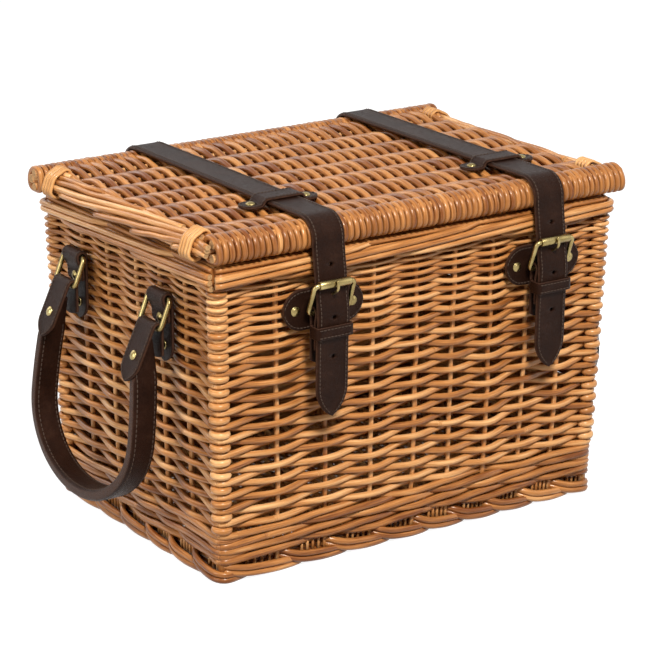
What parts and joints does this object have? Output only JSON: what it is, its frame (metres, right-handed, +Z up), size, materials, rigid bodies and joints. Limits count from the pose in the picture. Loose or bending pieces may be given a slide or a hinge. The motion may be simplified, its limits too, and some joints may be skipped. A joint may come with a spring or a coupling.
{
  "type": "picnic basket",
  "caption": "Rectangular woven willow picnic hamper with a hinged lid, buckled leather straps and swinging leather end handles on wire rings.",
  "frame": {"origin": "on the floor under the middle of the part's box, with the lid shut, the straps buckled and the handles hanging", "axes": "+X from the left end to the right end, +Y from the buckled front to the hinged back, +Z up"},
  "size_m": [0.4888, 0.3102, 0.2972],
  "materials": {
    "willow": "varnished honey-coloured willow rods",
    "pale_willow": "pale split willow binding",
    "leather": "dark brown stitched leather",
    "brass": "antique brass"
  },
  "bodies": {
    "basket": {"base_panel": "willow", "foot_border": "willow", "front_wall": "willow", "back_wall": "willow", "left_wall": "willow", "right_wall": "willow", "front_left_post": "willow", "back_left_post": "willow", "front_right_post": "willow", "back_right_post": "willow", "rim_border": "willow", "left_strap_anchor": "leather", "right_strap_anchor": "leather", "left_backing_plate": "leather", "right_backing_plate": "leather", "left_chape": "leather", "right_chape": "leather", "left_keeper": "leather", "right_keeper": "leather", "left_front_tab": "leather", "left_rear_tab": "leather", "right_front_tab": "leather", "right_rear_tab": "leather"},
    "lid": {"lid_front_rail": "willow", "lid_rear_rail": "willow", "lid_left_edge": "willow", "lid_right_edge": "willow", "lid_front_left_binding": "pale_willow", "lid_rear_left_binding": "pale_willow", "lid_front_right_binding": "pale_willow", "lid_rear_right_binding": "pale_willow", "lid_panel": "willow", "left_lid_strap": "leather", "right_lid_strap": "leather", "left_strap_loop": "leather", "right_strap_loop": "leather"},
    "left_tail": {"left_strap_tail": "leather"},
    "right_tail": {"right_strap_tail": "leather"},
    "left_buckle": {"left_buckle_frame": "brass"},
    "right_buckle": {"right_buckle_frame": "brass"},
    "left_prong": {"left_buckle_prong": "brass"},
    "right_prong": {"right_buckle_prong": "brass"},
    "left_roller": {"left_buckle_roller": "brass"},
    "right_roller": {"right_buckle_roller": "brass"},
    "left_ring_front": {"left_front_ring": "brass"},
    "left_ring_rear": {"left_rear_ring": "brass"},
    "right_ring_front": {"right_front_ring": "brass"},
    "right_ring_rear": {"right_rear_ring": "brass"},
    "left_handle": {"left_handle_grip": "leather", "left_front_tongue": "leather", "left_rear_tongue": "leather"},
    "right_handle": {"right_handle_grip": "leather", "right_front_tongue": "leather", "right_rear_tongue": "leather"}
  },
  "joints": [
    {"name": "lid_hinge", "type": "hinge", "parent": "basket", "child": "lid", "pos_m": [0, 0.1535, 0.2675], "axis": [-1, 0, 0], "range_deg": [0, 100]},
    {"name": "left_tail_bend", "type": "hinge", "parent": "lid", "child": "left_tail", "pos_m": [-0.0961, -0.1393, 0.2725], "axis": [-1, 0, 0], "range_deg": [0, 100], "deforming": ["left_strap_tail"]},
    {"name": "right_tail_bend", "type": "hinge", "parent": "lid", "child": "right_tail", "pos_m": [0.12194, -0.1393, 0.2725], "axis": [-1, 0, 0], "range_deg": [0, 100], "deforming": ["right_strap_tail"]},
    {"name": "left_buckle_pivot", "type": "hinge", "parent": "basket", "child": "left_buckle", "pos_m": [-0.0961, -0.13927, 0.218], "axis": [1, 0, 0], "range_deg": [0, 45]},
    {"name": "right_buckle_pivot", "type": "hinge", "parent": "basket", "child": "right_buckle", "pos_m": [0.12194, -0.13927, 0.218], "axis": [1, 0, 0], "range_deg": [0, 45]},
    {"name": "left_prong_pivot", "type": "hinge", "parent": "left_buckle", "child": "left_prong", "pos_m": [-0.0961, -0.13927, 0.218], "axis": [1, 0, 0], "range_deg": [0, 45]},
    {"name": "right_prong_pivot", "type": "hinge", "parent": "right_buckle", "child": "right_prong", "pos_m": [0.12194, -0.13927, 0.218], "axis": [1, 0, 0], "range_deg": [0, 45]},
    {"name": "left_roller_spin", "type": "hinge", "parent": "left_buckle", "child": "left_roller", "pos_m": [-0.0961, -0.1486, 0.2425], "axis": [1, 0, 0], "continuous": true},
    {"name": "right_roller_spin", "type": "hinge", "parent": "right_buckle", "child": "right_roller", "pos_m": [0.12194, -0.1486, 0.2425], "axis": [1, 0, 0], "continuous": true},
    {"name": "left_ring_swing", "type": "hinge", "parent": "basket", "child": "left_ring_front", "pos_m": [-0.20028, -0.0569, 0.227], "axis": [0, 1, 0], "range_deg": [0, 95]},
    {"name": "left_rear_ring_swing", "type": "hinge", "parent": "basket", "child": "left_ring_rear", "pos_m": [-0.20028, 0.0811, 0.227], "axis": [0, 1, 0], "range_deg": [0, 95]},
    {"name": "left_handle_swing", "type": "hinge", "parent": "left_ring_front", "child": "left_handle", "pos_m": [-0.20965, -0.0569, 0.20382], "axis": [0, 1, 0], "range_deg": [0, 65]},
    {"name": "right_ring_swing", "type": "hinge", "parent": "basket", "child": "right_ring_front", "pos_m": [0.20028, -0.0569, 0.227], "axis": [0, -1, 0], "range_deg": [0, 95]},
    {"name": "right_rear_ring_swing", "type": "hinge", "parent": "basket", "child": "right_ring_rear", "pos_m": [0.20028, 0.0811, 0.227], "axis": [0, -1, 0], "range_deg": [0, 95]},
    {"name": "right_handle_swing", "type": "hinge", "parent": "right_ring_front", "child": "right_handle", "pos_m": [0.20965, -0.0569, 0.20382], "axis": [0, -1, 0], "range_deg": [0, 65]}
  ],
  "couplings": [
    {"joint": "left_rear_ring_swing", "follows": "left_ring_swing", "ratio": 1},
    {"joint": "right_rear_ring_swing", "follows": "right_ring_swing", "ratio": 1}
  ]
}
